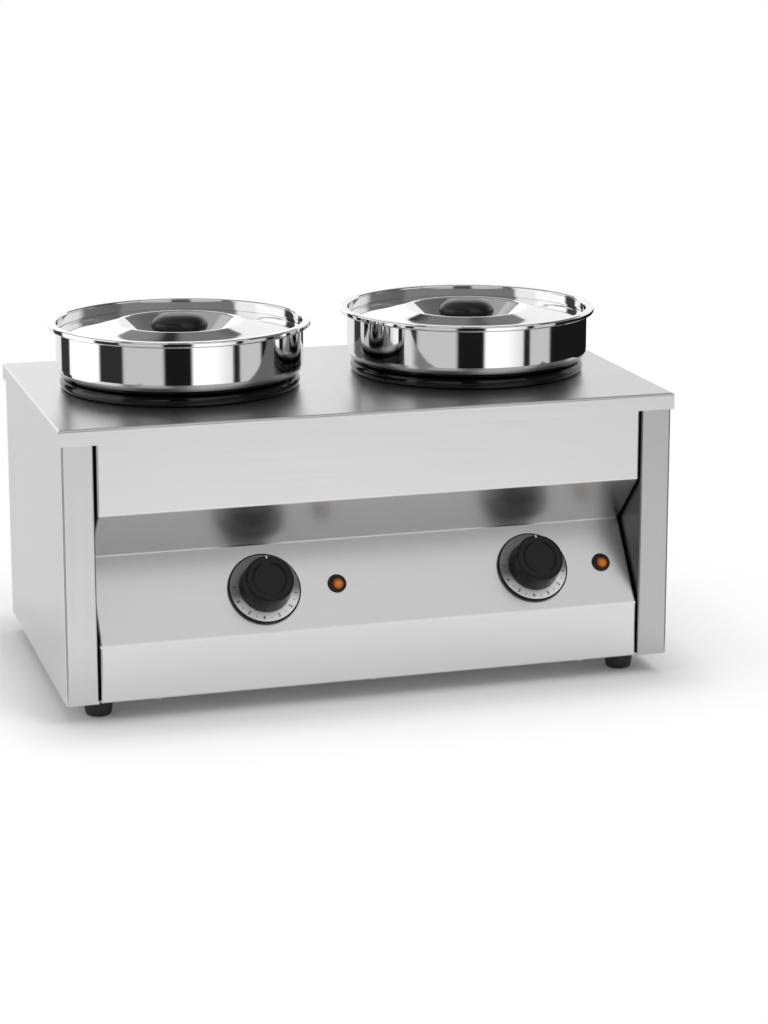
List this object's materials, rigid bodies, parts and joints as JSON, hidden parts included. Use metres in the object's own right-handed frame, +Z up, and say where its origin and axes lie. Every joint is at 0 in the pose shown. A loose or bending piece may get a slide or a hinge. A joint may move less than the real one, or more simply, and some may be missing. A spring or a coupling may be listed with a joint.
{
  "type": "soup kettle",
  "caption": "Countertop wet-heat food warmer: a folded steel cabinet with side-by-side heated wells, lift-out pots with inset lids, and a sloping panel of thermostat dials.",
  "frame": {"origin": "on the table under the middle of the outline", "axes": "+X to the right as seen from the front, +Y to the back, +Z up; the dials face -Y"},
  "size_m": [0.52, 0.3086, 0.3056],
  "materials": {
    "body_steel": "brushed stainless sheet",
    "polished_steel": "mirror-polished stainless",
    "well_steel": "smooth pressed stainless",
    "plated_steel": "zinc-plated steel",
    "heater_sheath": "dull heated steel sheath",
    "ring_black": "glossy black",
    "control_black": "satin black",
    "dial_plate": "spun silver",
    "lamp_rim": "glossy black",
    "lamp_amber": "glossy translucent amber",
    "lid_knob_black": "satin black",
    "foot_rubber": "matt black rubber",
    "fitting_plastic": "off-white moulding",
    "brass_parts": "plain turned brass",
    "gland_plastic": "satin black"
  },
  "bodies": {
    "housing": {"top_plate": "body_steel", "left_side_panel": "body_steel", "right_side_panel": "body_steel", "front_panel": "body_steel", "back_panel": "body_steel", "base_plate": "plated_steel", "left_well": "well_steel", "right_well": "well_steel", "left_well_base": "well_steel", "right_well_base": "well_steel", "left_well_ring": "ring_black", "right_well_ring": "ring_black", "left_heater": "heater_sheath", "right_heater": "heater_sheath", "left_heater_plate": "plated_steel", "right_heater_plate": "plated_steel", "heater_nuts": "plated_steel", "left_thermostat": "fitting_plastic", "right_thermostat": "fitting_plastic", "left_sensor": "brass_parts", "right_sensor": "brass_parts", "sensor_clips": "plated_steel", "left_dial_base": "control_black", "right_dial_base": "control_black", "left_dial_plate": "dial_plate", "right_dial_plate": "dial_plate", "dial_screws": "plated_steel", "left_lamp_holder": "lamp_rim", "right_lamp_holder": "lamp_rim", "left_lamp_lens": "lamp_amber", "right_lamp_lens": "lamp_amber", "lamp_clips": "plated_steel", "front_left_foot": "foot_rubber", "front_right_foot": "foot_rubber", "back_left_foot": "foot_rubber", "back_right_foot": "foot_rubber", "foot_screws": "plated_steel", "cable_gland": "gland_plastic", "gland_cap": "gland_plastic", "gland_locknut": "gland_plastic", "terminal_block": "fitting_plastic", "earth_stud": "plated_steel", "back_screws": "plated_steel", "base_screws": "plated_steel", "top_studs": "plated_steel"},
    "left_knob": {"left_knob": "control_black", "left_spindle": "brass_parts"},
    "right_knob": {"right_knob": "control_black", "right_spindle": "brass_parts"},
    "left_pot": {"left_pot": "polished_steel"},
    "right_pot": {"right_pot": "polished_steel"},
    "left_lid": {"left_lid": "polished_steel", "left_lid_knob": "lid_knob_black", "left_lid_screw": "plated_steel"},
    "right_lid": {"right_lid": "polished_steel", "right_lid_knob": "lid_knob_black", "right_lid_screw": "plated_steel"}
  },
  "joints": [
    {"name": "left_knob_turn", "type": "hinge", "parent": "housing", "child": "left_knob", "pos_m": [-0.089, -0.12297, 0.09609], "axis": [0, 0.8076, -0.5897], "range_deg": [0, 270]},
    {"name": "right_knob_turn", "type": "hinge", "parent": "housing", "child": "right_knob", "pos_m": [0.144, -0.12297, 0.09609], "axis": [0, 0.8076, -0.5897], "range_deg": [0, 270]},
    {"name": "left_pot_lift", "type": "slide", "parent": "housing", "child": "left_pot", "axis": [0, 0, 1], "range_m": [0, 0.15]},
    {"name": "left_lid_lift", "type": "slide", "parent": "left_pot", "child": "left_lid", "axis": [0, 0, 1], "range_m": [0, 0.06]},
    {"name": "right_pot_lift", "type": "slide", "parent": "housing", "child": "right_pot", "axis": [0, 0, 1], "range_m": [0, 0.15]},
    {"name": "right_lid_lift", "type": "slide", "parent": "right_pot", "child": "right_lid", "axis": [0, 0, 1], "range_m": [0, 0.06]}
  ]
}
